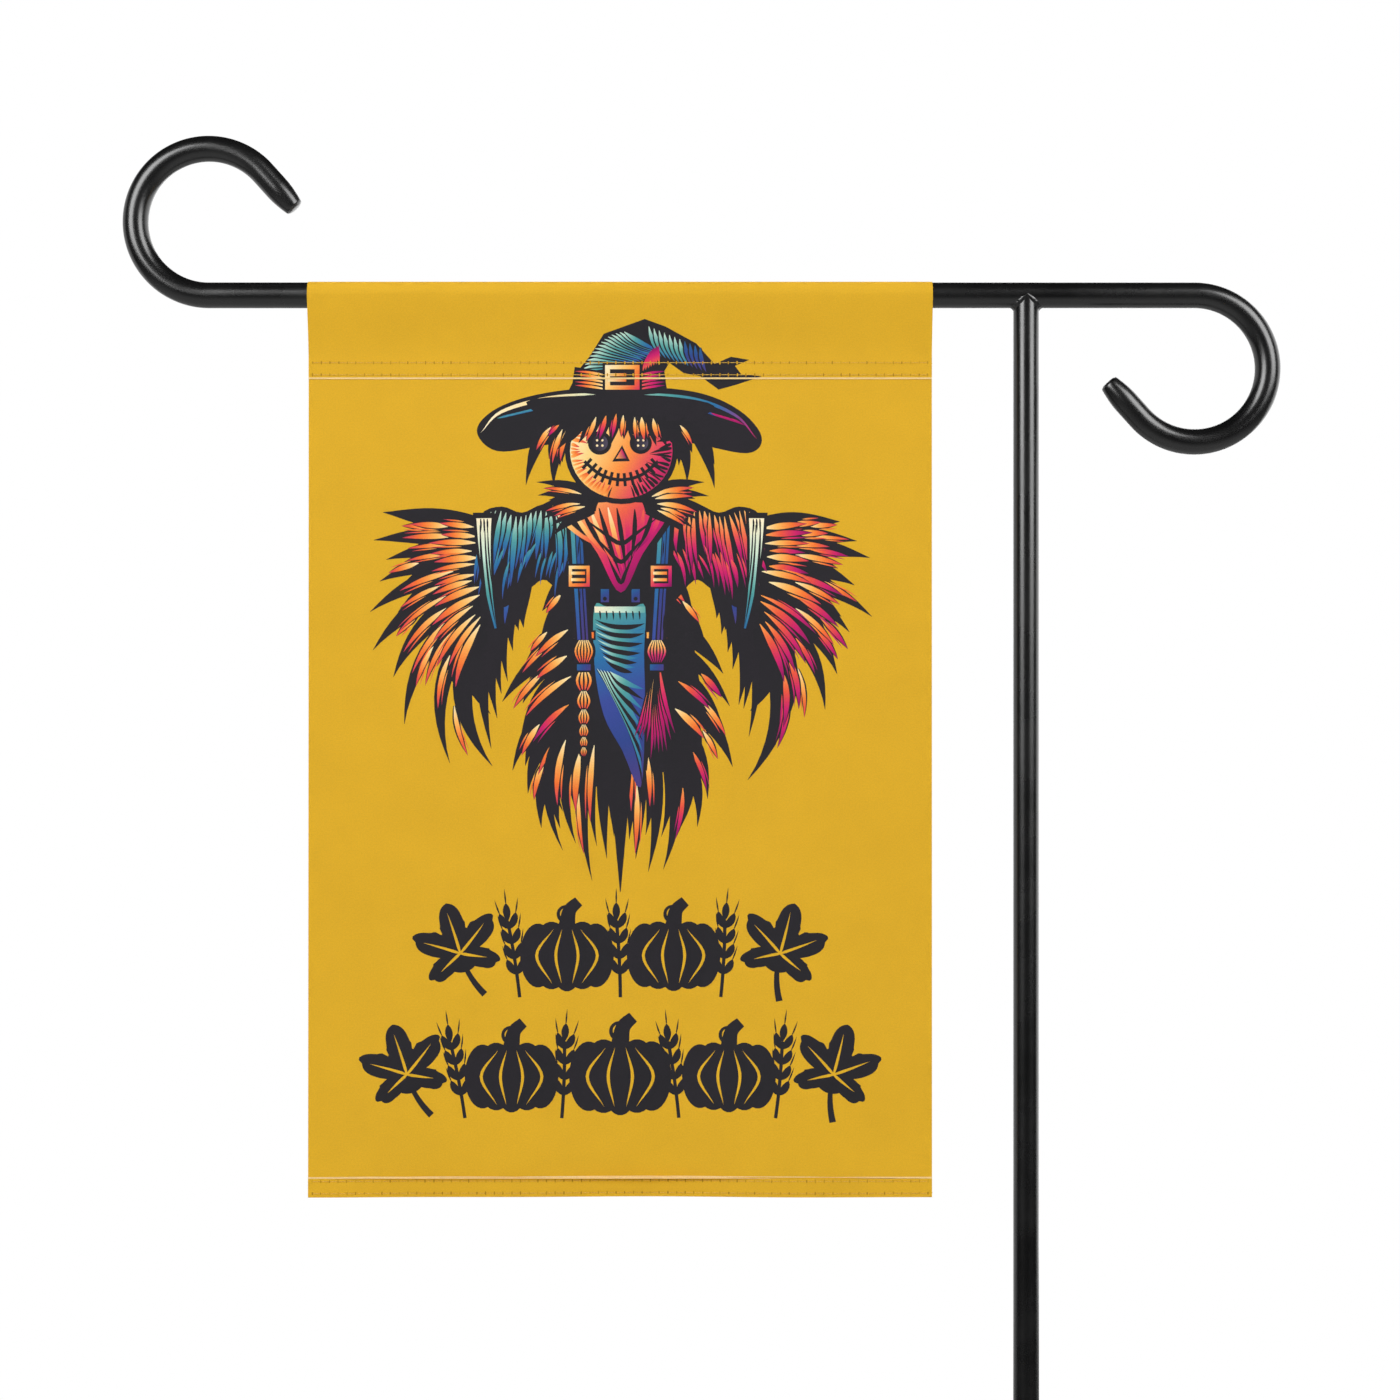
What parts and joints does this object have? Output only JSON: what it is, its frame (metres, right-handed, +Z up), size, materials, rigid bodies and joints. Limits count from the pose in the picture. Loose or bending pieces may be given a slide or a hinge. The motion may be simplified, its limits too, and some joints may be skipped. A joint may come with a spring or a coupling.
{
  "type": "garden flag on stand",
  "caption": "Gold garden flag with a printed straw scarecrow, hung by a sewn sleeve on a black steel stand with a scroll, a hook end and a step-in stake.",
  "frame": {"origin": "on the pole's axis at ground level, level with the underside of the step plate", "axes": "+Z up the pole, -Y towards the printed face of the flag, -X along the arm that carries the flag"},
  "size_m": [0.5648, 0.026, 1.1757],
  "materials": {
    "black_paint": "gloss black paint on steel tube and rod",
    "weld_paint": "gloss black paint over a rippled weld bead",
    "plug_plastic": "semi-gloss black plastic",
    "gold_cloth": "matt woven polyester, printed",
    "gold_thread": "spun polyester sewing thread"
  },
  "bodies": {
    "stake": {"lower_pole": "black_paint", "stake_point": "black_paint", "step_plate": "black_paint", "left_prong": "black_paint", "right_prong": "black_paint", "pole_plate_weld": "weld_paint", "left_prong_weld": "weld_paint", "right_prong_weld": "weld_paint"},
    "connector": {"pole_connector": "black_paint"},
    "hanger": {"upper_pole": "black_paint", "hanger_bar": "black_paint", "hanger_weld": "weld_paint", "scroll_end_plug": "plug_plastic", "hook_end_plug": "plug_plastic"},
    "flag_sleeve": {"flag_sleeve_loop": "gold_cloth"},
    "flag_header": {"flag_header_back": "gold_cloth", "flag_header_front": "gold_cloth", "sleeve_needle_thread_upper": "gold_thread", "sleeve_needle_thread_lower": "gold_thread", "sleeve_looper_thread": "gold_thread"},
    "flag_drop": {"flag_panel": "gold_cloth", "flag_bottom_hem": "gold_cloth", "hem_needle_thread_upper": "gold_thread", "hem_needle_thread_lower": "gold_thread", "hem_looper_thread": "gold_thread"}
  },
  "joints": [
    {"name": "pole_swivel", "type": "hinge", "parent": "stake", "child": "connector", "pos_m": [0, 0, 0.3], "axis": [0, 0, 1], "continuous": true},
    {"name": "pole_lift", "type": "slide", "parent": "connector", "child": "hanger", "axis": [0, 0, 1], "range_m": [0, 0.04]},
    {"name": "flag_slide", "type": "slide", "parent": "hanger", "child": "flag_sleeve", "axis": [1, 0, 0], "range_m": [-0.046, 0.036]},
    {"name": "flag_swing", "type": "hinge", "parent": "flag_sleeve", "child": "flag_header", "pos_m": [-0.198, 0, 0.92], "axis": [1, 0, 0], "range_deg": [-75, 75]},
    {"name": "flag_fold", "type": "hinge", "parent": "flag_header", "child": "flag_drop", "pos_m": [-0.198, 0, 0.8771], "axis": [1, 0, 0], "range_deg": [-60, 60]}
  ]
}
